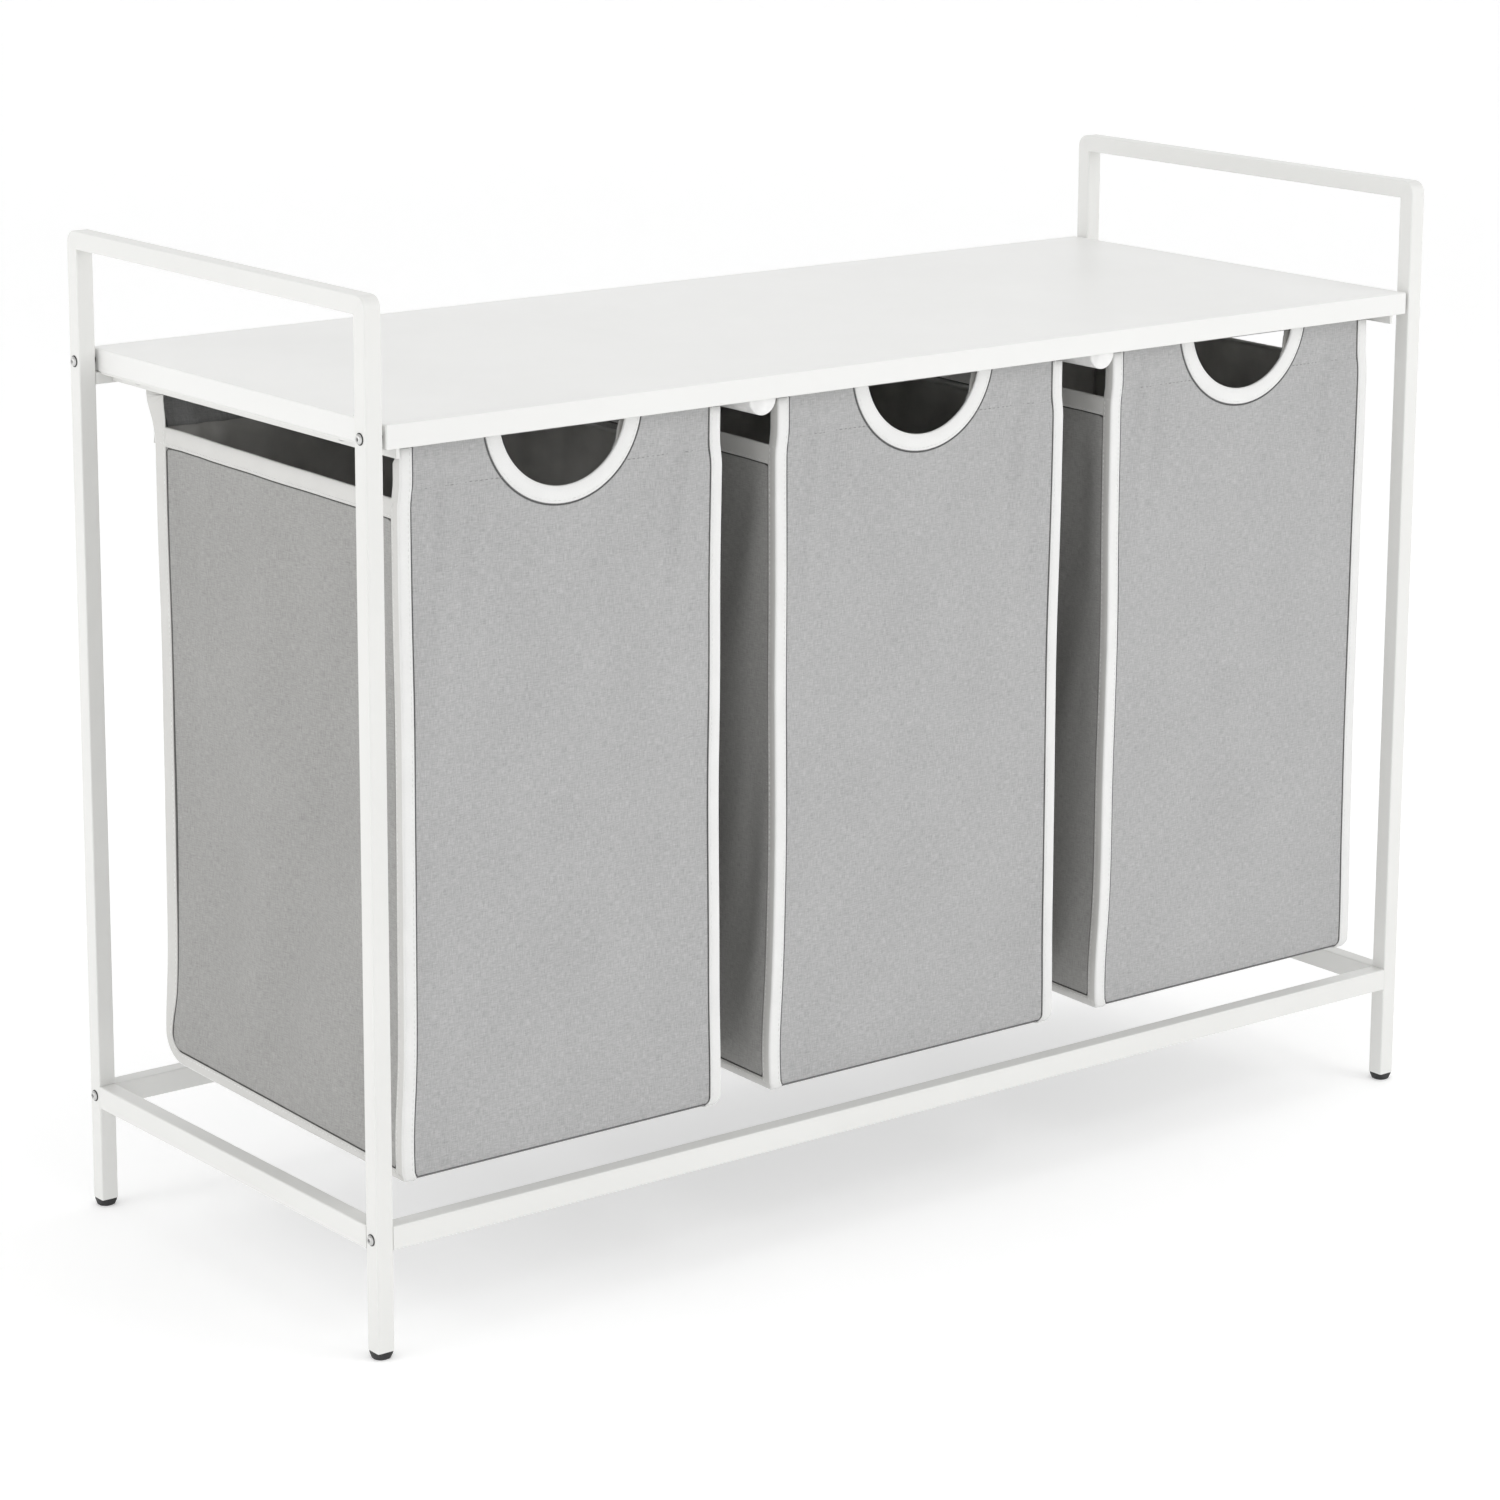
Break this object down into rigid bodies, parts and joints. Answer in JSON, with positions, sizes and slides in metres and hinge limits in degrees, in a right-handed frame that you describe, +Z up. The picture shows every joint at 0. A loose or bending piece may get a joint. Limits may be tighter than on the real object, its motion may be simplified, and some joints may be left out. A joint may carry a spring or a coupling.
{
  "type": "laundry sorter",
  "caption": "Laundry sorter: a white square-tube frame with a flat shelf on top and pull-out grey fabric bags hung side by side under it, on fixed feet.",
  "frame": {"origin": "on the floor, at the centre of the sorter's footprint", "axes": "+X along the shelf towards the right-hand end seen from the front, +Y from the front to the back, +Z up"},
  "size_m": [0.9294, 0.364, 0.69],
  "materials": {
    "white_steel": "white powder coat, satin",
    "white_board": "white laminate on particle board",
    "white_plastic": "white moulded plastic",
    "bright_steel": "zinc-plated",
    "black_plastic": "black moulded plastic",
    "grey_cloth": "plain-woven grey polyester with white binding tape",
    "grey_board": "grey covered stiffener board"
  },
  "bodies": {
    "frame": {"left_front_leg": "white_steel", "left_front_foot": "black_plastic", "left_back_leg": "white_steel", "left_back_foot": "black_plastic", "left_handle": "white_steel", "left_lower_side_rail": "white_steel", "right_front_leg": "white_steel", "right_front_foot": "black_plastic", "right_back_leg": "white_steel", "right_back_foot": "black_plastic", "right_handle": "white_steel", "right_lower_side_rail": "white_steel", "front_lower_rail": "white_steel", "back_lower_rail": "white_steel", "back_upper_rail": "white_steel", "shelf_board": "white_board", "outer_slide_left": "white_steel", "middle_slide_left": "white_plastic", "middle_slide_right": "white_plastic", "outer_slide_right": "white_steel", "shelf_bolt_left_front": "bright_steel", "rail_bolt_left_front": "bright_steel", "shelf_bolt_left_back": "bright_steel", "rail_bolt_left_back": "bright_steel", "shelf_bolt_right_front": "bright_steel", "rail_bolt_right_front": "bright_steel", "shelf_bolt_right_back": "bright_steel", "rail_bolt_right_back": "bright_steel", "slide_screw_outer_left_front": "bright_steel", "slide_screw_outer_left_back": "bright_steel", "slide_screw_middle_left_front": "bright_steel", "slide_screw_middle_left_back": "bright_steel", "slide_screw_middle_right_front": "bright_steel", "slide_screw_middle_right_back": "bright_steel", "slide_screw_outer_right_front": "bright_steel", "slide_screw_outer_right_back": "bright_steel", "back_rail_screw_left": "bright_steel", "back_rail_screw_right": "bright_steel"},
    "left_bag": {"left_bag_front_panel": "grey_cloth", "left_bag_back_panel": "grey_cloth", "left_bag_left_panel": "grey_cloth", "left_bag_right_panel": "grey_cloth", "left_bag_bottom_panel": "grey_cloth", "left_bag_base_board": "grey_board", "left_bag_wire_frame": "bright_steel"},
    "middle_bag": {"middle_bag_front_panel": "grey_cloth", "middle_bag_back_panel": "grey_cloth", "middle_bag_left_panel": "grey_cloth", "middle_bag_right_panel": "grey_cloth", "middle_bag_bottom_panel": "grey_cloth", "middle_bag_base_board": "grey_board", "middle_bag_wire_frame": "bright_steel"},
    "right_bag": {"right_bag_front_panel": "grey_cloth", "right_bag_back_panel": "grey_cloth", "right_bag_left_panel": "grey_cloth", "right_bag_right_panel": "grey_cloth", "right_bag_bottom_panel": "grey_cloth", "right_bag_base_board": "grey_board", "right_bag_wire_frame": "bright_steel"}
  },
  "joints": [
    {"name": "left_bag_slide", "type": "slide", "parent": "frame", "child": "left_bag", "axis": [0, -1, 0], "range_m": [0, 0.24]},
    {"name": "middle_bag_slide", "type": "slide", "parent": "frame", "child": "middle_bag", "axis": [0, -1, 0], "range_m": [0, 0.24]},
    {"name": "right_bag_slide", "type": "slide", "parent": "frame", "child": "right_bag", "axis": [0, -1, 0], "range_m": [0, 0.24]}
  ]
}
